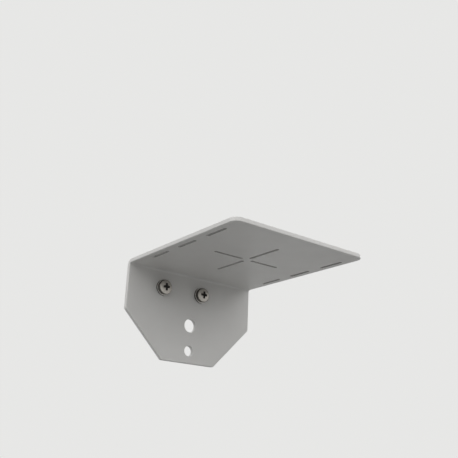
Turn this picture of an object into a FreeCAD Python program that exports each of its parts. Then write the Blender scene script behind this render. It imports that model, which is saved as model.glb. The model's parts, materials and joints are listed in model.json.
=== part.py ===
import FreeCAD, Part
import math
import os

import Sketcher

# Camera wall bracket: one sheet folded once, with a platform that stands out
# from the wall and a flange that lies on it. Two pan-head screws, each with a
# spring washer and a flat washer, hold the flange.
# Frame: X along the wall, Y into the wall, Z up. The origin is on the back of
# the flange, on its centre line, at the height of the two wall screws.

doc = FreeCAD.newDocument("camera_wall_bracket")
V = FreeCAD.Vector
ORIGIN = (-1, 1)
H_AXIS, V_AXIS = range(-1, -3, -1)
START, END, CENTRE = range(1, 4)
SAME = 0.01

# Driving dimensions in millimetres, angles in degrees
SIZES = {
    "bracket_width": 130.0,
    "platform_depth": 148.0,
    "flange_height": 80.5,
    "sheet_gauge": 3.5,
    "bend_inner_radius": 2.0,
    "front_corner_radius": 7.0,
    "flange_corner_cut": 38.0,
    "flange_corner_radius": 3.0,
    "arris_break": 0.4,
    "side_slot_length": 23.5,
    "side_slot_width": 2.8,
    "side_slot_inset": 6.3,
    "side_slot_first": 42.5,
    "side_slot_pitch": 37.5,
    "side_slot_count": 3.0,
    "cross_depth": 80.0,
    "cross_slot_width": 2.8,
    "cross_arm_start": 4.2,
    "across_arm_length": 28.3,
    "along_arm_length": 34.8,
    "upper_hole_diameter": 12.0,
    "upper_hole_rise": 33.0,
    "lower_hole_diameter": 9.0,
    "lower_hole_rise": 10.8,
    "screw_drop": 19.0,
    "screw_hole_diameter": 6.6,
    "left_screw_offset": 30.3,
    "right_screw_offset": 9.4,
    "left_screw_turn": -4.0,
    "right_screw_turn": 0.0,
    "flat_washer_diameter": 14.0,
    "flat_washer_bore": 6.4,
    "flat_washer_gauge": 1.2,
    "flat_washer_bevel": 0.3,
    "spring_washer_diameter": 11.4,
    "spring_washer_bore": 6.2,
    "spring_washer_gauge": 1.4,
    "spring_washer_gap": 1.2,
    "spring_washer_slant": 20.0,
    "screw_diameter": 6.0,
    "screw_length": 30.0,
    "neck_diameter": 5.1,
    "neck_length": 6.6,
    "screw_point": 0.8,
    "head_diameter": 13.0,
    "head_height": 3.4,
    "head_corner_radius": 1.9,
    "head_crown_radius": 18.0,
    "recess_span": 7.0,
    "recess_wing": 2.2,
    "recess_depth": 2.6,
    "recess_foot_span": 3.4,
}

sheet = doc.addObject("Spreadsheet::Sheet", "sizes")
for row, (name, value) in enumerate(SIZES.items(), start=1):
    sheet.set(f"A{row}", name)
    sheet.set(f"B{row}", str(value))
    sheet.setAlias(f"B{row}", name)
doc.recompute()


def size(name):
    """A driving dimension, read from the sheet."""
    return float(sheet.get(name))


def new_body(label):
    body = doc.addObject("PartDesign::Body", label)
    body.Label = label
    return body


def origin_feature(body, role):
    return next(f for f in body.Origin.OriginFeatures if f.Role == role)


def new_sketch(body, name, role, offset=None, expression=None):
    """A sketch on one of the body's origin planes, moved along its normal if an expression is given."""
    sketch = body.newObject("Sketcher::SketchObject", name)
    sketch.AttachmentSupport = [(origin_feature(body, role), "")]
    sketch.MapMode = "FlatFace"
    if expression:
        sketch.AttachmentOffset = FreeCAD.Placement(V(0, 0, offset), FreeCAD.Rotation())
        sketch.setExpression("AttachmentOffset.Base.z", expression)
    return sketch


def line(sketch, start, end):
    return sketch.addGeometry(Part.LineSegment(V(*start, 0), V(*end, 0)), False)


def arc(sketch, centre, radius, first_degrees, last_degrees):
    circle = Part.Circle(V(*centre, 0), V(0, 0, 1), radius)
    first, last = math.radians(first_degrees), math.radians(last_degrees)
    return sketch.addGeometry(Part.ArcOfCircle(circle, first, last), False)


def bind(sketch, kind, *parts, to):
    """Add a dimension to a sketch and bind it to an expression of the sheet's sizes."""
    index = sketch.addConstraint(Sketcher.Constraint(kind, *parts))
    sketch.setExpression(f"Constraints[{index}]", to)


def fix(sketch, kind, *parts):
    sketch.addConstraint(Sketcher.Constraint(kind, *parts))


def join(sketch, *lines):
    """Join lines end to start round a closed loop."""
    for this, following in zip(lines, lines[1:] + lines[:1]):
        fix(sketch, "Coincident", this, END, following, START)


def place(sketch, kind, item, point, value, distance):
    """Hold a point at a signed distance from the origin. Without a distance it lies on the axis."""
    if not distance:
        fix(sketch, "PointOnObject", item, point, V_AXIS if kind == "DistanceX" else H_AXIS)
    elif value < 0:
        bind(sketch, kind, item, point, *ORIGIN, -value, to=distance)
    else:
        bind(sketch, kind, *ORIGIN, item, point, value, to=distance)


def add_slot(sketch, axis, centre, distances, length_size, width_size):
    """A round-ended slot along one sketch axis, held by its middle point."""
    half_run = (size(length_size) - size(width_size)) / 2
    radius = size(width_size) / 2
    along_x, along_y = (1, 0) if axis == "x" else (0, 1)
    turn = 0 if axis == "x" else 90

    def at(along, across):
        return (centre[0] + along * along_x - across * along_y,
                centre[1] + along * along_y + across * along_x)

    left = line(sketch, at(half_run, radius), at(-half_run, radius))
    low_end = arc(sketch, at(-half_run, 0), radius, turn + 90, turn + 270)
    right = line(sketch, at(-half_run, -radius), at(half_run, -radius))
    high_end = arc(sketch, at(half_run, 0), radius, turn - 90, turn + 90)
    loop = ((left, END, low_end, START), (low_end, END, right, START),
            (right, END, high_end, START), (high_end, END, left, START))
    for ends in loop:
        fix(sketch, "Tangent", *ends)
    for item in (left, right):
        fix(sketch, "Horizontal" if axis == "x" else "Vertical", item)
    middle = sketch.addGeometry(Part.Point(V(*centre, 0)), True)
    fix(sketch, "Symmetric", low_end, CENTRE, high_end, CENTRE, middle, START)
    bind(sketch, "Radius", low_end, radius, to=f"sizes.{width_size} / 2")
    bind(sketch, "DistanceX" if axis == "x" else "DistanceY", low_end, CENTRE, high_end, CENTRE,
         2 * half_run, to=f"sizes.{length_size} - sizes.{width_size}")
    place(sketch, "DistanceX", middle, START, centre[0], distances[0])
    place(sketch, "DistanceY", middle, START, centre[1], distances[1])


def cut_through(body, name, sketch):
    """Cut a sketch through everything on both sides of its plane."""
    pocket = body.newObject("PartDesign::Pocket", name)
    pocket.Profile = sketch
    pocket.Type = "ThroughAll"
    pocket.SideType = "Symmetric"
    doc.recompute()
    return pocket


def near(a, b):
    return abs(a - b) < SAME


# The folded sheet

bracket = new_body("folded_bracket")
width = size("bracket_width")
depth = size("platform_depth")
gauge = size("sheet_gauge")
drop = size("screw_drop")
foot = drop - size("flange_height")
outer = size("bend_inner_radius") + gauge
inner = size("bend_inner_radius")


def draw_fold_profile(sketch):
    """The sheet from the side: platform, bend and flange, with concentric bend radii."""
    centre = (-outer, drop - outer)
    top = line(sketch, (-depth, drop), (-outer, drop))
    outer_bend = arc(sketch, centre, outer, 0, 90)
    back = line(sketch, (0, drop - outer), (0, foot))
    foot_edge = line(sketch, (0, foot), (-gauge, foot))
    flange_front = line(sketch, (-gauge, foot), (-gauge, drop - outer))
    inner_bend = arc(sketch, centre, inner, 0, 90)
    underside = line(sketch, (-outer, drop - gauge), (-depth, drop - gauge))
    front_edge = line(sketch, (-depth, drop - gauge), (-depth, drop))
    fix(sketch, "Tangent", top, END, outer_bend, END)
    fix(sketch, "Tangent", outer_bend, START, back, START)
    fix(sketch, "Coincident", back, END, foot_edge, START)
    fix(sketch, "Coincident", foot_edge, END, flange_front, START)
    fix(sketch, "Tangent", flange_front, END, inner_bend, START)
    fix(sketch, "Tangent", inner_bend, END, underside, START)
    fix(sketch, "Coincident", underside, END, front_edge, START)
    fix(sketch, "Coincident", front_edge, END, top, START)
    for item in (top, foot_edge, underside):
        fix(sketch, "Horizontal", item)
    for item in (back, flange_front, front_edge):
        fix(sketch, "Vertical", item)
    fix(sketch, "PointOnObject", back, END, V_AXIS)
    bind(sketch, "Radius", inner_bend, inner, to="sizes.bend_inner_radius")
    bind(sketch, "Radius", outer_bend, outer, to="sizes.bend_inner_radius + sizes.sheet_gauge")
    bind(sketch, "DistanceX", foot_edge, END, foot_edge, START, gauge, to="sizes.sheet_gauge")
    bind(sketch, "DistanceY", front_edge, START, front_edge, END, gauge, to="sizes.sheet_gauge")
    bind(sketch, "DistanceX", top, START, *ORIGIN, depth, to="sizes.platform_depth")
    bind(sketch, "DistanceY", *ORIGIN, top, START, drop, to="sizes.screw_drop")
    bind(sketch, "DistanceY", back, END, *ORIGIN, -foot, to="sizes.flange_height - sizes.screw_drop")


fold_profile = new_sketch(bracket, "fold_profile", "YZ_Plane")
draw_fold_profile(fold_profile)
folded_sheet = bracket.newObject("PartDesign::Pad", "folded_sheet")
folded_sheet.Profile = fold_profile
folded_sheet.SideType = "Symmetric"
folded_sheet.setExpression("Length", "sizes.bracket_width")
doc.recompute()


def dress(name, kind, base, test, property_name, size_name):
    """A fillet or chamfer on the base feature's edges that pass a test."""
    feature = bracket.newObject(f"PartDesign::{kind}", name)
    picked = [f"Edge{i}" for i, edge in enumerate(base.Shape.Edges, start=1) if test(edge)]
    feature.Base = (base, picked)
    feature.setExpression(property_name, f"sizes.{size_name}")
    doc.recompute()
    return feature


def at_flange_foot_corner(edge):
    box = edge.BoundBox
    return near(box.ZMax, foot) and near(abs(box.XMin), width / 2) and near(box.XLength, 0)


def at_platform_corner(edge):
    box = edge.BoundBox
    return near(box.YMax, -depth) and near(box.XLength, 0) and near(abs(box.XMin), width / 2)


def at_flange_outline_corner(edge):
    """The edges through the sheet at both ends of each cut corner."""
    box = edge.BoundBox
    cut = size("flange_corner_cut")
    side_end = near(abs(box.XMin), width / 2) and near(box.ZMin, foot + cut)
    foot_end = near(abs(box.XMin), width / 2 - cut) and near(box.ZMin, foot)
    return near(box.YLength, gauge) and near(box.XLength, 0) and (side_end or foot_end)


def on_rim(edge):
    """The edges that run round the sheet's outline, on either face of it."""
    box = edge.BoundBox
    across_sheet = near(box.YLength, gauge) and near(box.XLength, 0) and near(box.ZLength, 0)
    down_sheet = near(box.ZLength, gauge) and near(box.XLength, 0) and near(box.YLength, 0)
    bend_line = near(box.XLength, width) and box.YMin > -outer - SAME and box.ZMax > drop - outer - SAME
    return not (across_sheet or down_sheet or bend_line)


cut_corners = dress("cut_flange_corners", "Chamfer", folded_sheet, at_flange_foot_corner,
                    "Size", "flange_corner_cut")
platform_corners = dress("round_platform_corners", "Fillet", cut_corners, at_platform_corner,
                         "Radius", "front_corner_radius")
flange_corners = dress("round_flange_corners", "Fillet", platform_corners, at_flange_outline_corner,
                       "Radius", "flange_corner_radius")
dress("broken_rim", "Chamfer", flange_corners, on_rim, "Size", "arris_break")

# Slots along both sides of the platform: the pair nearest the wall, then repeated outwards

side_pair = new_sketch(bracket, "side_slot_pair", "XY_Plane")
side_x = width / 2 - size("side_slot_inset")
side_distances = ("sizes.bracket_width / 2 - sizes.side_slot_inset", "sizes.side_slot_first")
for side_sign in (-1, 1):
    add_slot(side_pair, "y", (side_sign * side_x, -size("side_slot_first")), side_distances,
             "side_slot_length", "side_slot_width")
side_slots = cut_through(bracket, "rear_side_slots", side_pair)
slot_row = bracket.newObject("PartDesign::LinearPattern", "side_slot_row")
slot_row.Originals = [side_slots]
slot_row.Direction = (origin_feature(bracket, "Y_Axis"), [""])
slot_row.Reversed = True
slot_row.Mode = "Spacing"
slot_row.setExpression("Offset", "sizes.side_slot_pitch")
slot_row.setExpression("Occurrences", "sizes.side_slot_count")
bracket.Tip = slot_row
doc.recompute()

# The cross of four slots in the middle of the platform, with solid sheet at its centre

cross = new_sketch(bracket, "cross_of_slots", "XY_Plane")
across_middle = size("cross_arm_start") + size("across_arm_length") / 2
for arm_sign in (-1, 1):
    add_slot(cross, "x", (arm_sign * across_middle, -size("cross_depth")),
             ("sizes.cross_arm_start + sizes.across_arm_length / 2", "sizes.cross_depth"),
             "across_arm_length", "cross_slot_width")
along_middle = size("cross_arm_start") + size("along_arm_length") / 2
for arm_sign, sign_text in ((-1, "-"), (1, "+")):
    arm_distance = f"sizes.cross_depth {sign_text} (sizes.cross_arm_start + sizes.along_arm_length / 2)"
    add_slot(cross, "y", (0, -size("cross_depth") - arm_sign * along_middle), ("", arm_distance),
             "along_arm_length", "cross_slot_width")
cut_through(bracket, "cross_slots", cross)

# Holes in the flange: two under the screw heads, two left free on the centre line


def add_hole(sketch, centre, distances, diameter_size):
    """A circle in the flange, held by its centre."""
    circle = sketch.addGeometry(Part.Circle(V(*centre, 0), V(0, 0, 1), size(diameter_size) / 2), False)
    bind(sketch, "Diameter", circle, size(diameter_size), to=f"sizes.{diameter_size}")
    place(sketch, "DistanceX", circle, CENTRE, centre[0], distances[0])
    place(sketch, "DistanceY", circle, CENTRE, centre[1], distances[1])


holes = new_sketch(bracket, "flange_holes", "XZ_Plane")
add_hole(holes, (-size("left_screw_offset"), 0), ("sizes.left_screw_offset", ""), "screw_hole_diameter")
add_hole(holes, (size("right_screw_offset"), 0), ("sizes.right_screw_offset", ""), "screw_hole_diameter")
for hole in ("upper_hole", "lower_hole"):
    hole_drop = f"sizes.flange_height - sizes.screw_drop - sizes.{hole}_rise"
    add_hole(holes, (0, foot + size(f"{hole}_rise")), ("", hole_drop), f"{hole}_diameter")
cut_through(bracket, "flange_hole_cuts", holes)

# One wall screw about its own axis: underside of the head at Y = 0, shank towards +Y

screw = new_body("wall_screw")
head_radius = size("head_diameter") / 2
corner_radius = size("head_corner_radius")
crown_radius = size("head_crown_radius")
head_height = size("head_height")
shank_radius = size("screw_diameter") / 2
neck_radius = size("neck_diameter") / 2
neck_end = size("neck_length")
shank_end = size("screw_length")
point = size("screw_point")


def draw_screw_profile(sketch):
    """Half of the screw: crown and corner arcs, head side, seat, neck, shank and chamfered end."""
    crown_centre_y = crown_radius - head_height
    reach = crown_radius - corner_radius
    corner_x = head_radius - corner_radius
    corner_y = crown_centre_y - math.sqrt(reach ** 2 - corner_x ** 2)
    lean = math.degrees(math.atan2(corner_y - crown_centre_y, corner_x))
    crown = arc(sketch, (0, crown_centre_y), crown_radius, -90, lean)
    corner = arc(sketch, (corner_x, corner_y), corner_radius, lean, 0)
    side = line(sketch, (head_radius, corner_y), (head_radius, 0))
    seat = line(sketch, (head_radius, 0), (neck_radius, 0))
    neck = line(sketch, (neck_radius, 0), (neck_radius, neck_end))
    shoulder = line(sketch, (neck_radius, neck_end), (shank_radius, neck_end))
    shank = line(sketch, (shank_radius, neck_end), (shank_radius, shank_end - point))
    end_bevel = line(sketch, (shank_radius, shank_end - point), (shank_radius - point, shank_end))
    end_face = line(sketch, (shank_radius - point, shank_end), (0, shank_end))
    axis = line(sketch, (0, shank_end), (0, -head_height))
    fix(sketch, "Tangent", crown, END, corner, START)
    fix(sketch, "Tangent", corner, END, side, START)
    fix(sketch, "Coincident", side, END, seat, START)
    fix(sketch, "Coincident", seat, END, neck, START)
    fix(sketch, "Coincident", neck, END, shoulder, START)
    fix(sketch, "Coincident", shoulder, END, shank, START)
    fix(sketch, "Coincident", shank, END, end_bevel, START)
    fix(sketch, "Coincident", end_bevel, END, end_face, START)
    fix(sketch, "Coincident", end_face, END, axis, START)
    fix(sketch, "Coincident", axis, END, crown, START)
    fix(sketch, "Vertical", side)
    fix(sketch, "Vertical", neck)
    fix(sketch, "Horizontal", shoulder)
    fix(sketch, "Vertical", shank)
    fix(sketch, "Horizontal", end_face)
    fix(sketch, "PointOnObject", axis, START, V_AXIS)
    fix(sketch, "PointOnObject", axis, END, V_AXIS)
    fix(sketch, "PointOnObject", crown, CENTRE, V_AXIS)
    fix(sketch, "PointOnObject", seat, START, H_AXIS)
    fix(sketch, "PointOnObject", seat, END, H_AXIS)
    bind(sketch, "Radius", crown, crown_radius, to="sizes.head_crown_radius")
    bind(sketch, "Radius", corner, corner_radius, to="sizes.head_corner_radius")
    bind(sketch, "DistanceX", *ORIGIN, seat, START, head_radius, to="sizes.head_diameter / 2")
    bind(sketch, "DistanceX", *ORIGIN, seat, END, neck_radius, to="sizes.neck_diameter / 2")
    bind(sketch, "DistanceY", *ORIGIN, neck, END, neck_end, to="sizes.neck_length")
    bind(sketch, "DistanceX", *ORIGIN, shank, START, shank_radius, to="sizes.screw_diameter / 2")
    bind(sketch, "DistanceY", *ORIGIN, end_face, END, shank_end, to="sizes.screw_length")
    bind(sketch, "DistanceY", axis, END, *ORIGIN, head_height, to="sizes.head_height")
    bind(sketch, "DistanceX", end_bevel, END, end_bevel, START, point, to="sizes.screw_point")
    bind(sketch, "DistanceY", end_bevel, START, end_bevel, END, point, to="sizes.screw_point")


def revolve(body, name, sketch):
    """Turn a profile in the XY plane once round the body's Y axis."""
    turned = body.newObject("PartDesign::Revolution", name)
    turned.Profile = sketch
    turned.ReferenceAxis = (sketch, ["V_Axis"])
    turned.Angle = 360
    doc.recompute()
    return turned


screw_profile = new_sketch(screw, "screw_profile", "XY_Plane")
draw_screw_profile(screw_profile)
revolve(screw, "turned_screw", screw_profile)


def draw_recess_wing(sketch):
    """One wing of the cross recess from the side: wide at the mouth, narrow at the foot."""
    mouth, foot_half = size("recess_span") / 2, size("recess_foot_span") / 2
    mouth_y, foot_y = -head_height, size("recess_depth") - head_height
    corners = [(-mouth, mouth_y), (mouth, mouth_y), (foot_half, foot_y), (-foot_half, foot_y)]
    top, right, bottom, left = [line(sketch, a, b) for a, b in zip(corners, corners[1:] + corners[:1])]
    join(sketch, top, right, bottom, left)
    fix(sketch, "Symmetric", top, START, top, END, V_AXIS)
    fix(sketch, "Symmetric", bottom, START, bottom, END, V_AXIS)
    bind(sketch, "DistanceX", top, START, top, END, 2 * mouth, to="sizes.recess_span")
    bind(sketch, "DistanceX", bottom, END, bottom, START, 2 * foot_half, to="sizes.recess_foot_span")
    bind(sketch, "DistanceY", top, END, *ORIGIN, head_height, to="sizes.head_height")
    bind(sketch, "DistanceY", right, START, right, END, size("recess_depth"), to="sizes.recess_depth")


recess_outline = new_sketch(screw, "recess_wing_outline", "XY_Plane")
draw_recess_wing(recess_outline)
recess_wing = screw.newObject("PartDesign::Pocket", "recess_wing_cut")
recess_wing.Profile = recess_outline
recess_wing.Type = "Length"
recess_wing.SideType = "Symmetric"
recess_wing.setExpression("Length", "sizes.recess_wing")
doc.recompute()
cross_recess = screw.newObject("PartDesign::PolarPattern", "cross_recess")
cross_recess.Originals = [recess_wing]
cross_recess.Axis = (origin_feature(screw, "Y_Axis"), [""])
cross_recess.Mode = "Extent"
cross_recess.Angle = 90
cross_recess.Occurrences = 2
screw.Tip = cross_recess
doc.recompute()

# One flat washer about its own axis: back face at Y = 0, front face towards -Y

flat_washer = new_body("flat_washer")


def draw_flat_washer(sketch):
    """The washer's section, with a small bevel round the front."""
    bore, rim = size("flat_washer_bore") / 2, size("flat_washer_diameter") / 2
    thick, bevel = size("flat_washer_gauge"), size("flat_washer_bevel")
    corners = [(bore, 0), (rim, 0), (rim, bevel - thick), (rim - bevel, -thick), (bore, -thick)]
    back, edge, slope, front, hole = [line(sketch, a, b) for a, b in zip(corners, corners[1:] + corners[:1])]
    join(sketch, back, edge, slope, front, hole)
    fix(sketch, "Horizontal", front)
    fix(sketch, "Vertical", edge)
    fix(sketch, "Vertical", hole)
    fix(sketch, "PointOnObject", back, START, H_AXIS)
    fix(sketch, "PointOnObject", back, END, H_AXIS)
    bind(sketch, "DistanceX", slope, END, slope, START, bevel, to="sizes.flat_washer_bevel")
    bind(sketch, "DistanceY", slope, END, slope, START, bevel, to="sizes.flat_washer_bevel")
    bind(sketch, "DistanceX", *ORIGIN, back, START, bore, to="sizes.flat_washer_bore / 2")
    bind(sketch, "DistanceX", *ORIGIN, back, END, rim, to="sizes.flat_washer_diameter / 2")
    bind(sketch, "DistanceY", front, END, *ORIGIN, thick, to="sizes.flat_washer_gauge")


flat_section = new_sketch(flat_washer, "flat_washer_section", "XY_Plane")
draw_flat_washer(flat_section)
revolve(flat_washer, "turned_flat_washer", flat_section)

# One spring washer about its own axis, pressed flat, with its slanting gap

spring_washer = new_body("spring_washer")


def draw_spring_washer(sketch):
    bore, rim = size("spring_washer_bore") / 2, size("spring_washer_diameter") / 2
    thick = size("spring_washer_gauge")
    corners = [(bore, 0), (rim, 0), (rim, -thick), (bore, -thick)]
    back, edge, front, hole = [line(sketch, a, b) for a, b in zip(corners, corners[1:] + corners[:1])]
    join(sketch, back, edge, front, hole)
    fix(sketch, "Horizontal", front)
    fix(sketch, "Vertical", edge)
    fix(sketch, "Vertical", hole)
    fix(sketch, "PointOnObject", back, START, H_AXIS)
    fix(sketch, "PointOnObject", back, END, H_AXIS)
    bind(sketch, "DistanceX", *ORIGIN, back, START, bore, to="sizes.spring_washer_bore / 2")
    bind(sketch, "DistanceX", *ORIGIN, back, END, rim, to="sizes.spring_washer_diameter / 2")
    bind(sketch, "DistanceY", front, START, *ORIGIN, thick, to="sizes.spring_washer_gauge")


def draw_washer_gap(sketch):
    """The gap seen from above: a slanting band across the ring's section."""
    thick, gap = size("spring_washer_gauge"), size("spring_washer_gap")
    shift = thick * math.tan(math.radians(size("spring_washer_slant")))
    corners = [(-gap / 2, 0), (gap / 2, 0), (gap / 2 + shift, -thick), (-gap / 2 + shift, -thick)]
    back, right, front, left = [line(sketch, a, b) for a, b in zip(corners, corners[1:] + corners[:1])]
    join(sketch, back, right, front, left)
    fix(sketch, "Horizontal", front)
    fix(sketch, "Parallel", right, left)
    fix(sketch, "PointOnObject", back, START, H_AXIS)
    fix(sketch, "PointOnObject", back, END, H_AXIS)
    slant = "sizes.spring_washer_gauge * tan(sizes.spring_washer_slant * 1 deg)"
    bind(sketch, "DistanceX", back, START, back, END, gap, to="sizes.spring_washer_gap")
    bind(sketch, "DistanceX", back, START, *ORIGIN, gap / 2, to="sizes.spring_washer_gap / 2")
    bind(sketch, "DistanceX", right, START, right, END, shift, to=slant)
    bind(sketch, "DistanceY", front, START, *ORIGIN, thick, to="sizes.spring_washer_gauge")


spring_section = new_sketch(spring_washer, "spring_washer_section", "XY_Plane")
draw_spring_washer(spring_section)
revolve(spring_washer, "turned_spring_washer", spring_section)
gap_outline = new_sketch(spring_washer, "spring_washer_gap_outline", "XY_Plane")
draw_washer_gap(gap_outline)
washer_gap = spring_washer.newObject("PartDesign::Pocket", "washer_gap")
washer_gap.Profile = gap_outline
washer_gap.Type = "Length"
washer_gap.Reversed = True
washer_gap.setExpression("Length", "sizes.spring_washer_diameter")
doc.recompute()

# Each fastener piece sits on both screw axes, stacked outwards from the flange

STACK = {
    "flat_washers": (flat_washer, "-sizes.sheet_gauge"),
    "spring_washers": (spring_washer, "-sizes.sheet_gauge - sizes.flat_washer_gauge"),
    "wall_screws": (
        screw,
        "-sizes.sheet_gauge - sizes.flat_washer_gauge - sizes.spring_washer_gauge",
    ),
}
SCREW_PLACES = {
    "left": ("-sizes.left_screw_offset", "sizes.left_screw_turn"),
    "right": ("sizes.right_screw_offset", "sizes.right_screw_turn"),
}


def stacked_pair(label, body, seat):
    """A group of one body's shape at each screw axis."""
    copies = []
    for side, (axis_x, turn) in SCREW_PLACES.items():
        copy = doc.addObject("App::Link", f"{label}_{side}")
        copy.LinkedObject = body
        copy.LinkTransform = True
        copy.Placement = FreeCAD.Placement(V(0, 0, 0), FreeCAD.Rotation(V(0, 1, 0), 0))
        copy.setExpression("Placement.Base.x", axis_x)
        copy.setExpression("Placement.Base.y", seat)
        copy.setExpression("Placement.Rotation.Angle", turn)
        copies.append(copy)
    group = doc.addObject("Part::Compound", label)
    group.Label = label
    group.Links = copies
    doc.recompute()
    return group


nodes = [bracket] + [stacked_pair(label, *parts) for label, parts in STACK.items()]

# Check the document, then write one file for each node

doc.recompute()
for item in doc.Objects:
    if "Invalid" in item.State or "Error" in item.State:
        raise RuntimeError(f"{item.Label} failed: {item.State}")
    if item.isDerivedFrom("Sketcher::SketchObject") and not item.FullyConstrained:
        raise RuntimeError(f"{item.Label} isn't fully constrained")
expected_solids = {"folded_bracket": 1, "flat_washers": 2, "spring_washers": 2, "wall_screws": 2}
os.makedirs("parts", exist_ok=True)
for node in nodes:
    shape = node.Shape
    if shape.isNull() or not shape.isValid():
        raise RuntimeError(f"{node.Label} has no valid shape")
    if len(shape.Solids) != expected_solids[node.Label]:
        raise RuntimeError(f"{node.Label} has {len(shape.Solids)} solids")
    shape.exportStep(f"parts/{node.Label}.step")
    box = shape.BoundBox
    print(f"{node.Label}: {len(shape.Solids)} solids, {shape.Volume:.1f} mm3, "
          f"X {box.XMin:.2f} to {box.XMax:.2f}, Y {box.YMin:.2f} to {box.YMax:.2f}, "
          f"Z {box.ZMin:.2f} to {box.ZMax:.2f}")
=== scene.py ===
import bmesh
import bpy
import json
import math
from mathutils import Matrix, Vector


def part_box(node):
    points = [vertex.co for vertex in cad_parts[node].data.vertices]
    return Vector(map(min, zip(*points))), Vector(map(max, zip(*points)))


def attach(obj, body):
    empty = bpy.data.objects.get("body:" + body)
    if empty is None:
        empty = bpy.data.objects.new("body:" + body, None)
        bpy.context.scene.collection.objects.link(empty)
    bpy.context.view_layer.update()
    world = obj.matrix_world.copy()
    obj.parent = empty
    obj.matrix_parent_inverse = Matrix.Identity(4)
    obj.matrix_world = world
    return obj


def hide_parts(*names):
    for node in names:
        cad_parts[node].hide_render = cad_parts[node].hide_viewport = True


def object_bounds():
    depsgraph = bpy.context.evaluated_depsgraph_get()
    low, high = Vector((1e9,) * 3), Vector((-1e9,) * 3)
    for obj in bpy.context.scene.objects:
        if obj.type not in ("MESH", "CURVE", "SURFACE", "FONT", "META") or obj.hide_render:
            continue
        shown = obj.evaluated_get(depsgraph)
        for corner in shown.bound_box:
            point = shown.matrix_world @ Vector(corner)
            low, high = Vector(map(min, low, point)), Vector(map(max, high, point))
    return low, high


# Camera wall bracket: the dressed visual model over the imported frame.
# Everything is in metres, in the frame of the CAD part: X along the wall,
# Y into the wall, Z up, origin on the back of the flange, on its centre line
# and at the height of the screws.

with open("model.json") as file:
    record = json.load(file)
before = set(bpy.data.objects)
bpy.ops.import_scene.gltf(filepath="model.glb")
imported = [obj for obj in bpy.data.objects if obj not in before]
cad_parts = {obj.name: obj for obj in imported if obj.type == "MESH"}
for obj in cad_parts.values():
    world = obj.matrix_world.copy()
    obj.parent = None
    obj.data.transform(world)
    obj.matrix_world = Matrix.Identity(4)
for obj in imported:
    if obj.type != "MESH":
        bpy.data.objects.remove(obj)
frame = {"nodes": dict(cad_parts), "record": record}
cad_low, cad_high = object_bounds()

MM = 0.001
QUARTER = 90

# Screw axes and seats, read from the frame

mounts = {mount["name"]: mount for mount in frame["record"]["mounts"]}
studs = mounts["wall_studs"]
stud_half_spacing = studs["dims"]["spacing_x_mm"] * MM / 2
LEFT_X = studs["pos_m"][0] - stud_half_spacing
RIGHT_X = studs["pos_m"][0] + stud_half_spacing
flat_low, flat_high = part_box("flat_washers")
spring_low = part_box("spring_washers")[0]
screw_low, screw_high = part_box("wall_screws")
FLANGE_FRONT = flat_high[1]
FLAT_FRONT = flat_low[1]
SEAT = spring_low[1]
HEAD_HEIGHT = SEAT - screw_low[1]
SHANK_END = screw_high[1] - SEAT

# The sheet's box and gauge, and how far in front of the wall its fold surely ends

sheet_low, sheet_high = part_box("folded_bracket")
GAUGE = -FLANGE_FRONT
BEND_REACH = 4 * GAUGE

# Sizes of the fasteners that the boxes don't give

LEFT_TURN = math.radians(-4)
RIGHT_TURN = 0.0
HEAD_RADIUS = 6.5 * MM
CORNER_RADIUS = 1.9 * MM
CROWN_RADIUS = 18.0 * MM
SEAT_BEVEL = 0.2 * MM
NECK_RADIUS = 2.55 * MM
NECK_LENGTH = 6.6 * MM
THREAD_RADIUS = 3.0 * MM
THREAD_ROOT = 2.45 * MM
THREAD_PITCH = 1.0 * MM
POINT_BEVEL = 0.8 * MM
RECESS_SPAN = 7.0 * MM
RECESS_FOOT_SPAN = 3.4 * MM
RECESS_WING = 2.2 * MM
RECESS_FOOT_WING = 1.8 * MM
RECESS_FLUTE = 0.35 * MM
RECESS_DEPTH = 2.6 * MM
FLAT_RADIUS = 7.0 * MM
FLAT_BORE = 3.2 * MM
FLAT_ROLL = 0.3 * MM
FLAT_BURR = 0.12 * MM
SPRING_RADIUS = 5.7 * MM
SPRING_BORE = 3.1 * MM
SPRING_ROUND = 0.2 * MM
SPRING_GAP = 1.2 * MM
SPRING_SLANT = math.radians(20)

# How finely the round forms are stepped

TURN_STEPS = 96
SPRING_STEPS = 88
THREAD_STEPS = 8
CROWN_STEPS = 12
CORNER_STEPS = 10
ROLL_STEPS = 6
ROUND_STEPS = 3


def new_object(name, data):
    """An object in the scene that shows a mesh, a light or a camera."""
    piece = bpy.data.objects.new(name, data)
    bpy.context.scene.collection.objects.link(piece)
    return piece


def from_bmesh(name, shape, smooth_angle):
    """Make an object of a bmesh, smooth apart from edges sharper than the angle."""
    bmesh.ops.recalc_face_normals(shape, faces=shape.faces)
    mesh = bpy.data.meshes.new(name)
    shape.to_mesh(mesh)
    shape.free()
    mesh.shade_smooth()
    mesh.set_sharp_from_angle(angle=math.radians(smooth_angle))
    return new_object(name, mesh)


def apply_modifiers(piece):
    """Keep a piece's modifiers in its own mesh."""
    graph = bpy.context.evaluated_depsgraph_get()
    mesh = bpy.data.meshes.new_from_object(piece.evaluated_get(graph))
    piece.modifiers.clear()
    piece.data = mesh


def seat_piece(piece, axis_x, seat_y, turn, node):
    """Put a fastener piece on its screw's axis, riding on the object in place of its CAD node."""
    piece.data.transform(Matrix.Translation((axis_x, seat_y, 0)) @ Matrix.Rotation(turn, 4, "Y"))
    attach(piece, "root")
    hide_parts(node)


# The folded sheet


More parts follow.
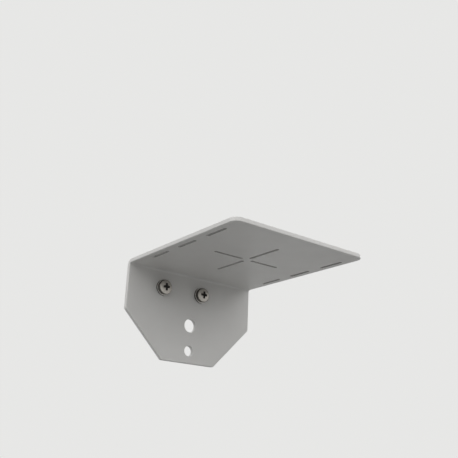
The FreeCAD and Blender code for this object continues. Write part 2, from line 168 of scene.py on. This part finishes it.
def folded_sheet():
    """The CAD sheet with its arrises rounded, as on sheet that was tumbled before it was coated."""
    arris_round = 0.16 * MM
    same_point = 0.002 * MM
    flat_below = math.radians(0.6)
    round_above = math.radians(32)
    shape = bmesh.new()
    shape.from_mesh(frame["nodes"]["folded_bracket"].data)
    bmesh.ops.remove_doubles(shape, verts=shape.verts, dist=same_point)
    bmesh.ops.dissolve_limit(shape, angle_limit=flat_below, verts=shape.verts, edges=shape.edges)
    sheet = from_bmesh("coated_sheet", shape, smooth_angle=180)
    bevel = sheet.modifiers.new("rounded_arrises", "BEVEL")
    bevel.width = arris_round
    bevel.segments = ROUND_STEPS
    bevel.limit_method = "ANGLE"
    bevel.angle_limit = round_above
    flats = sheet.modifiers.new("flat_faces", "WEIGHTED_NORMAL")
    flats.weight = 100
    apply_modifiers(sheet)
    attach(sheet, "root")
    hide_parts("folded_bracket")
    return sheet


# Turned pieces


def lathe(stations, closed=False):
    """Turn a line of stations about the Y axis. A station is (radius, y), or (function of angle, y)."""
    shape = bmesh.new()
    rings = []
    for radius, y in stations:
        if radius == 0:
            rings.append([shape.verts.new((0, y, 0))])
            continue
        ring = []
        for step in range(TURN_STEPS):
            angle = 2 * math.pi * step / TURN_STEPS
            reach = radius(angle) if callable(radius) else radius
            ring.append(shape.verts.new((reach * math.sin(angle), y, reach * math.cos(angle))))
        rings.append(ring)
    pairs = list(zip(rings, rings[1:]))
    if closed:
        pairs.append((rings[-1], rings[0]))
    for first, second in pairs:
        for step in range(TURN_STEPS):
            after = (step + 1) % TURN_STEPS
            corners = [first[step % len(first)], first[after % len(first)],
                       second[after % len(second)], second[step % len(second)]]
            shape.faces.new(list(dict.fromkeys(corners)))
    return shape


def arc_points(centre_radius, centre_y, radius, first, last, count):
    """Points of an arc in the half plane, with angles in degrees from outwards towards +Y."""
    points = []
    for step in range(count + 1):
        angle = math.radians(first + (last - first) * step / count)
        points.append((centre_radius + radius * math.cos(angle), centre_y + radius * math.sin(angle)))
    return points


def thread_radius(y):
    """A function of angle that gives the thread's radius at one place along the shank."""
    flat_share = 0.15

    def radius(angle):
        """The thread's radius, between its root and its crest, with a flat on each."""
        turn = (y / THREAD_PITCH + angle / (2 * math.pi)) % 1.0
        height = abs(2 * turn - 1)
        height = min(1.0, max(0.0, (height - flat_share) / (1 - 2 * flat_share)))
        return THREAD_ROOT + (THREAD_RADIUS - THREAD_ROOT) * height

    return radius


def recess_cutter():
    """A cross that narrows towards its foot, with fluted inner corners, to cut the recess."""
    lead = 0.4 * MM
    slope_span = (RECESS_SPAN - RECESS_FOOT_SPAN) / 2 / RECESS_DEPTH
    slope_wing = (RECESS_WING - RECESS_FOOT_WING) / 2 / RECESS_DEPTH

    def outline(depth):
        """The cross's corners at a depth below the head's top."""
        far = RECESS_SPAN / 2 - slope_span * depth
        wing = RECESS_WING / 2 - slope_wing * depth
        corner = [(far, wing), (wing + RECESS_FLUTE, wing), (wing, wing + RECESS_FLUTE), (wing, far)]
        points = []
        for quarter in range(4):
            turn = quarter * math.pi / 2
            for x, z in corner:
                points.append((x * math.cos(turn) - z * math.sin(turn),
                               x * math.sin(turn) + z * math.cos(turn)))
        return points

    shape = bmesh.new()
    mouth = [shape.verts.new((x, -HEAD_HEIGHT - lead, z)) for x, z in outline(-lead)]
    foot = [shape.verts.new((x, RECESS_DEPTH - HEAD_HEIGHT, z)) for x, z in outline(RECESS_DEPTH)]
    shape.faces.new(mouth)
    shape.faces.new(foot)
    for step in range(len(mouth)):
        after = (step + 1) % len(mouth)
        shape.faces.new([mouth[step], mouth[after], foot[after], foot[step]])
    return from_bmesh("recess_cutter", shape, smooth_angle=1)


def wall_screw(name, metal, recess_shade):
    """A pan-head screw with a cross recess and a threaded shank: underside of the head at Y = 0."""
    smooth_angle = 40
    corner_x = HEAD_RADIUS - CORNER_RADIUS
    crown_y = CROWN_RADIUS - HEAD_HEIGHT
    corner_y = crown_y - math.sqrt((CROWN_RADIUS - CORNER_RADIUS) ** 2 - corner_x ** 2)
    lean = math.degrees(math.atan2(corner_y - crown_y, corner_x))
    stations = [(0, -HEAD_HEIGHT)]
    stations += arc_points(0, crown_y, CROWN_RADIUS, -QUARTER, lean, CROWN_STEPS)[1:]
    stations += arc_points(corner_x, corner_y, CORNER_RADIUS, lean, 0, CORNER_STEPS)[1:]
    stations += [(HEAD_RADIUS, -SEAT_BEVEL), (HEAD_RADIUS - SEAT_BEVEL, 0), (NECK_RADIUS, 0)]
    thread_start = NECK_LENGTH + THREAD_PITCH / 2
    stations += [(NECK_RADIUS, NECK_LENGTH), (thread_radius(thread_start), thread_start)]
    thread_end = SHANK_END - POINT_BEVEL
    count = round((thread_end - thread_start) / THREAD_PITCH * THREAD_STEPS)
    for step in range(1, count + 1):
        y = thread_start + (thread_end - thread_start) * step / count
        stations.append((thread_radius(y), y))
    stations += [(THREAD_RADIUS - POINT_BEVEL, SHANK_END), (0, SHANK_END)]
    screw = from_bmesh(name, lathe(stations), smooth_angle)
    paint(screw, metal)
    cutter = recess_cutter()
    # Painted shade: the recess faces take the near-black recess paint.
    paint(cutter, recess_shade)
    cut = screw.modifiers.new("recess", "BOOLEAN")
    cut.operation = "DIFFERENCE"
    cut.solver = "EXACT"
    cut.material_mode = "TRANSFER"
    cut.object = cutter
    apply_modifiers(screw)
    bpy.data.objects.remove(cutter)
    screw.data.set_sharp_from_angle(angle=math.radians(smooth_angle))
    return screw


def flat_washer(name):
    """A stamped washer with its front arris rolled over: back face at Y = 0."""
    roll_y = FLAT_ROLL - (FLANGE_FRONT - FLAT_FRONT)
    stations = [(FLAT_BORE + FLAT_BURR, 0), (FLAT_RADIUS - FLAT_BURR, 0), (FLAT_RADIUS, -FLAT_BURR)]
    stations += arc_points(FLAT_RADIUS - FLAT_ROLL, roll_y, FLAT_ROLL, 0, -QUARTER, ROLL_STEPS)
    stations += arc_points(FLAT_BORE + FLAT_ROLL, roll_y, FLAT_ROLL, -QUARTER, -2 * QUARTER, ROLL_STEPS)
    stations += [(FLAT_BORE, -FLAT_BURR)]
    return from_bmesh(name, lathe(stations, closed=True), smooth_angle=50)


def spring_washer(name):
    """A split washer pressed flat, with rounded arrises and a slanting gap at the top."""
    thick = FLAT_FRONT - SEAT
    section = []
    corners = ((SPRING_RADIUS, 0), (SPRING_BORE, 0), (SPRING_BORE, -thick), (SPRING_RADIUS, -thick))
    for number, (reach, y) in enumerate(corners):
        inwards = SPRING_ROUND if reach == SPRING_BORE else -SPRING_ROUND
        off_face = -SPRING_ROUND if y == 0 else SPRING_ROUND
        start = number * QUARTER
        end = start + QUARTER
        section += arc_points(reach + inwards, y + off_face, SPRING_ROUND, start, end, ROUND_STEPS)
    shape = bmesh.new()
    rings = []
    for step in range(SPRING_STEPS + 1):
        share = step / SPRING_STEPS
        ring = []
        for reach, y in section:
            shift = -y * math.tan(SPRING_SLANT)
            first = math.asin((shift + SPRING_GAP / 2) / reach)
            last = 2 * math.pi + math.asin((shift - SPRING_GAP / 2) / reach)
            angle = first + (last - first) * share
            ring.append(shape.verts.new((reach * math.sin(angle), y, reach * math.cos(angle))))
        rings.append(ring)
    for first_ring, second_ring in zip(rings, rings[1:]):
        for step in range(len(section)):
            after = (step + 1) % len(section)
            shape.faces.new([first_ring[step], first_ring[after], second_ring[after], second_ring[step]])
    shape.faces.new(rings[0])
    shape.faces.new(rings[-1])
    return from_bmesh(name, shape, smooth_angle=50)


# Materials


def new_material(name):
    """A material with its nodes and links."""
    material = bpy.data.materials.new(name)
    material.use_nodes = True
    return material, material.node_tree.nodes, material.node_tree.links


def noise(nodes, links, scale, detail):
    """A cloudy texture's value. The scale is in clouds to the metre."""
    texture = nodes.new("ShaderNodeTexNoise")
    texture.inputs["Scale"].default_value = scale
    texture.inputs["Detail"].default_value = detail
    place = nodes.new("ShaderNodeTexCoord")
    links.new(place.outputs["Object"], texture.inputs["Vector"])
    return texture.outputs["Fac"]


def ramp(nodes, links, source, low, high, first=0.3, last=0.7):
    """Turn a texture's value into a colour between two, from a first to a last value."""
    colours = nodes.new("ShaderNodeValToRGB")
    colours.color_ramp.elements[0].position = first
    colours.color_ramp.elements[1].position = last
    colours.color_ramp.elements[0].color = (*low, 1)
    colours.color_ramp.elements[1].color = (*high, 1)
    links.new(source, colours.inputs["Fac"])
    return colours.outputs["Color"]


def uneven_roughness(nodes, links, shader, smooth, rough, scale, detail):
    """Let a shader's roughness wander between two values."""
    patch = noise(nodes, links, scale, detail)
    level = ramp(nodes, links, patch, (smooth, smooth, smooth), (rough, rough, rough))
    links.new(level, shader.inputs["Roughness"])


def fine_bump(nodes, links, shader, scale, strength, height):
    """Roughen a shader's surface with bumps of a height."""
    grain = noise(nodes, links, scale, detail=2)
    bump = nodes.new("ShaderNodeBump")
    bump.inputs["Strength"].default_value = strength
    bump.inputs["Distance"].default_value = height
    links.new(grain, bump.inputs["Height"])
    links.new(bump.outputs["Normal"], shader.inputs["Normal"])


def powder_coat(name, dark, pale):
    """Satin powder coat with faint cloudiness and fine orange peel."""
    material, nodes, links = new_material(name)
    shader = nodes["Principled BSDF"]
    cloud = noise(nodes, links, scale=26, detail=3)
    colour = ramp(nodes, links, cloud, dark, pale)
    links.new(colour, shader.inputs["Base Color"])
    uneven_roughness(nodes, links, shader, smooth=0.42, rough=0.52, scale=90, detail=2)
    fine_bump(nodes, links, shader, scale=1300, strength=0.22, height=0.03 * MM)
    return material


def plated_steel(name, dark, pale, smooth, rough, grain_scale):
    """Satin plated steel with fine uneven grain and slight staining."""
    material, nodes, links = new_material(name)
    shader = nodes["Principled BSDF"]
    shader.inputs["Metallic"].default_value = 1.0
    stain = noise(nodes, links, scale=420, detail=4)
    colour = ramp(nodes, links, stain, dark, pale, first=0.32, last=0.66)
    links.new(colour, shader.inputs["Base Color"])
    uneven_roughness(nodes, links, shader, smooth, rough, scale=900, detail=3)
    fine_bump(nodes, links, shader, grain_scale, strength=0.25, height=0.02 * MM)
    return material


def painted_recess_shade(dark, pale):
    """Near-black paint for the cross recess: painted shade for the shadow deep in the recess."""
    material, nodes, links = new_material("painted_recess_shade")
    shader = nodes["Principled BSDF"]
    shader.inputs["Roughness"].default_value = 0.8
    clump = noise(nodes, links, scale=1500, detail=3)
    colour = ramp(nodes, links, clump, dark, pale, first=0.35)
    links.new(colour, shader.inputs["Base Color"])
    return material


def paint(piece, material):
    """Give all of a piece one material."""
    piece.data.materials.clear()
    piece.data.materials.append(material)


def paint_some(piece, material, chosen):
    """Give a further material to the faces that pass a test."""
    piece.data.materials.append(material)
    for face in piece.data.polygons:
        if chosen(face):
            face.material_index = len(piece.data.materials) - 1


def in_slot(face):
    """Whether a face of the sheet is a wall of one of the platform's slots."""
    margin = 4 * MM
    upright_below = 0.7
    x, y, z = face.center
    inside = abs(x) < sheet_high[0] - margin and sheet_low[1] + margin < y < -BEND_REACH
    return inside and z > sheet_high[2] - GAUGE and abs(face.normal.z) < upright_below


def on_rim(face):
    """Whether a face of a washer, once it is seated, is on its rim or in its bore."""
    rim_below = 0.85
    return abs(face.normal.y) < rim_below


def on_head_side(face):
    """Whether a face of a screw, before it is seated, is on the side of its head."""
    side_below = 0.7
    reach = math.hypot(face.center.x, face.center.z)
    return reach > HEAD_RADIUS - CORNER_RADIUS and abs(face.normal.y) < side_below


coat = powder_coat("powder_coat_paint", dark=(0.665, 0.658, 0.640), pale=(0.705, 0.700, 0.683))
# The slot walls are coated much darker than the sheet: painted shade, as if the slots were in shadow.
painted_slot_shade = powder_coat("painted_shade_in_slots", dark=(0.31, 0.305, 0.295), pale=(0.38, 0.374, 0.362))
screw_metal = plated_steel("screw_plating", dark=(0.33, 0.312, 0.287), pale=(0.42, 0.399, 0.367),
                           smooth=0.44, rough=0.56, grain_scale=3200)
# The side of each screw head is near-black metal: painted shade and a painted dark reflection around the
# rim.
painted_head_side_shade = plated_steel("painted_shade_on_head_side", dark=(0.07, 0.066, 0.060), pale=(0.13, 0.123, 0.112),
                         smooth=0.45, rough=0.6, grain_scale=3200)
washer_metal = plated_steel("washer_plating", dark=(0.60, 0.585, 0.555), pale=(0.72, 0.702, 0.668),
                            smooth=0.42, rough=0.55, grain_scale=2600)
# Washer rims and bores are near-black metal: partly the darker sheared edge and partly painted shade for
# the dark outlines between the stacked parts.
sheared_rim_and_painted_shade = plated_steel("sheared_rim_and_painted_shade", dark=(0.04, 0.038, 0.036), pale=(0.08, 0.077, 0.072),
                           smooth=0.5, rough=0.65, grain_scale=2600)
# The cross recess is painted near-black: painted shade.
recess_shade = painted_recess_shade(dark=(0.012, 0.011, 0.010), pale=(0.045, 0.042, 0.038))

# The pieces, each on the frame

sheet = folded_sheet()
paint(sheet, coat)
# Painted shade: the walls of the slots take the darker coat.
paint_some(sheet, painted_slot_shade, in_slot)
for side, axis_x, turn in (("left", LEFT_X, LEFT_TURN), ("right", RIGHT_X, RIGHT_TURN)):
    screw = wall_screw(f"{side}_wall_screw", screw_metal, recess_shade)
    # Painted shade: the sides of the head take the near-black metal.
    paint_some(screw, painted_head_side_shade, on_head_side)
    seat_piece(screw, axis_x, SEAT, turn, "wall_screws")
    spring = spring_washer(f"{side}_spring_washer")
    seat_piece(spring, axis_x, FLAT_FRONT, turn, "spring_washers")
    flat = flat_washer(f"{side}_flat_washer")
    seat_piece(flat, axis_x, FLANGE_FRONT, turn, "flat_washers")
    for washer in (spring, flat):
        paint(washer, washer_metal)
        # Partly painted shade: the rims and bores of the washers take the near-black metal.
        paint_some(washer, sheared_rim_and_painted_shade, on_rim)

# Floor, light and camera

FLOOR_DROP = 0.19
FLOOR_SIZE = 12.0
LIGHT_DISTANCE = 1.5
BACKDROP = (0.80, 0.80, 0.79, 1)


def seen_directly(nodes, links):
    """1 for what the camera or a shiny surface sees of the studio, 0 for the light it gives."""
    path = nodes.new("ShaderNodeLightPath")
    camera_or_gloss = nodes.new("ShaderNodeMath")
    camera_or_gloss.operation = "MAXIMUM"
    links.new(path.outputs["Is Camera Ray"], camera_or_gloss.inputs[0])
    links.new(path.outputs["Is Glossy Ray"], camera_or_gloss.inputs[1])
    any_view = nodes.new("ShaderNodeMath")
    any_view.operation = "MAXIMUM"
    links.new(camera_or_gloss.outputs["Value"], any_view.inputs[0])
    links.new(path.outputs["Is Transmission Ray"], any_view.inputs[1])
    return any_view.outputs["Value"]


def mixed(nodes, links, share, first, second):
    """The first shader where the share is 0, and the second where it is 1."""
    mix = nodes.new("ShaderNodeMixShader")
    links.new(share, mix.inputs["Fac"])
    links.new(first, mix.inputs[1])
    links.new(second, mix.inputs[2])
    return mix.outputs["Shader"]


def pale_floor():
    """A floor that is pale near the part, keeps its shadow, and runs out into the backdrop."""
    near_part = 0.35
    far_off = 1.6
    shape = bmesh.new()
    bmesh.ops.create_grid(shape, x_segments=1, y_segments=1, size=FLOOR_SIZE / 2)
    floor = from_bmesh("floor", shape, smooth_angle=30)
    floor.location = (0, 0, cad_low[2] - FLOOR_DROP)
    material, nodes, links = new_material("floor_paint")
    shader = nodes["Principled BSDF"]
    shader.inputs["Roughness"].default_value = 0.9
    shader.inputs["Specular IOR Level"].default_value = 0.1
    mottle = noise(nodes, links, scale=3, detail=4)
    colour = ramp(nodes, links, mottle, low=(0.83, 0.83, 0.82), high=(0.86, 0.86, 0.85))
    links.new(colour, shader.inputs["Base Color"])
    glow = nodes.new("ShaderNodeEmission")
    glow.inputs["Color"].default_value = BACKDROP
    place = nodes.new("ShaderNodeTexCoord")
    reach = nodes.new("ShaderNodeVectorMath")
    reach.operation = "LENGTH"
    links.new(place.outputs["Object"], reach.inputs[0])
    fade = nodes.new("ShaderNodeMapRange")
    fade.inputs["From Min"].default_value = near_part
    fade.inputs["From Max"].default_value = far_off
    links.new(reach.outputs["Value"], fade.inputs["Value"])
    looks = mixed(nodes, links, fade.outputs["Result"], shader.outputs["BSDF"], glow.outputs["Emission"])
    bounce = nodes.new("ShaderNodeBsdfDiffuse")
    bounce.inputs["Color"].default_value = (0.28, 0.28, 0.278, 1)
    both = mixed(nodes, links, seen_directly(nodes, links), bounce.outputs["BSDF"], looks)
    links.new(both, nodes["Material Output"].inputs["Surface"])
    paint(floor, material)


def direction(azimuth, elevation):
    """The way from the object to a camera or light. Azimuth 0 is in front, and turns towards +X."""
    a = math.radians(azimuth)
    e = math.radians(elevation)
    return Vector((math.sin(a) * math.cos(e), -math.cos(a) * math.cos(e), math.sin(e)))


def area_light(name, azimuth, elevation, width, height, power):
    """A soft light that looks at the middle of the object."""
    back = direction(azimuth, elevation)
    data = bpy.data.lights.new(name, "AREA")
    data.shape = "RECTANGLE"
    data.size = width
    data.size_y = height
    data.energy = power
    light = new_object(name, data)
    light.location = (cad_low + cad_high) / 2 + back * LIGHT_DISTANCE
    light.rotation_mode = "QUATERNION"
    light.rotation_quaternion = back.to_track_quat("Z", "Y")


def pale_world(fill_level):
    """A world that is pale where it is seen, and gives a softer fill light."""
    world = bpy.data.worlds.new("studio")
    world.use_nodes = True
    nodes, links = world.node_tree.nodes, world.node_tree.links
    fill = nodes["Background"]
    fill.inputs["Color"].default_value = (fill_level, fill_level, fill_level, 1)
    backdrop = nodes.new("ShaderNodeBackground")
    backdrop.inputs["Color"].default_value = BACKDROP
    both = mixed(nodes, links, seen_directly(nodes, links), fill.outputs["Background"],
                 backdrop.outputs["Background"])
    links.new(both, nodes["World Output"].inputs["Surface"])
    bpy.context.scene.world = world


def photo_camera(azimuth, elevation, roll, place, focal_pixels, image_pixels):
    """A camera with the photograph's view, from angles in degrees and a focal length in pixels."""
    back = direction(azimuth, elevation)
    level = direction(azimuth + QUARTER, 0)
    rise = back.cross(level)
    r = math.radians(roll)
    right = level * math.cos(r) + rise * math.sin(r)
    up = rise * math.cos(r) - level * math.sin(r)
    data = bpy.data.cameras.new("photo_camera")
    data.sensor_width = 36.0
    data.lens = focal_pixels / image_pixels * data.sensor_width
    data.clip_start = 0.01
    camera = new_object("photo_camera", data)
    turn = Matrix((right, up, back)).transposed().to_4x4()
    camera.matrix_world = Matrix.Translation(place) @ turn
    bpy.context.scene.camera = camera


pale_floor()
area_light("top_light", azimuth=-20, elevation=78, width=0.45, height=0.45, power=4.2)
area_light("front_light", azimuth=0, elevation=37, width=3.0, height=0.6, power=10.2)
area_light("low_front_light", azimuth=4, elevation=14, width=4.0, height=0.5, power=6.2)
area_light("left_light", azimuth=-94, elevation=28, width=1.2, height=0.8, power=9.5)
area_light("right_light", azimuth=96, elevation=28, width=1.2, height=0.8, power=4.6)
area_light("back_light", azimuth=165, elevation=18, width=2.0, height=1.0, power=6.2)
pale_world(fill_level=0.24)
photo_camera(azimuth=-36.856, elevation=-19.448, roll=2.422, place=(-0.326755, -0.490243, -0.143708),
             focal_pixels=672.25, image_pixels=458)
bpy.context.scene.view_settings.view_transform = "Standard"
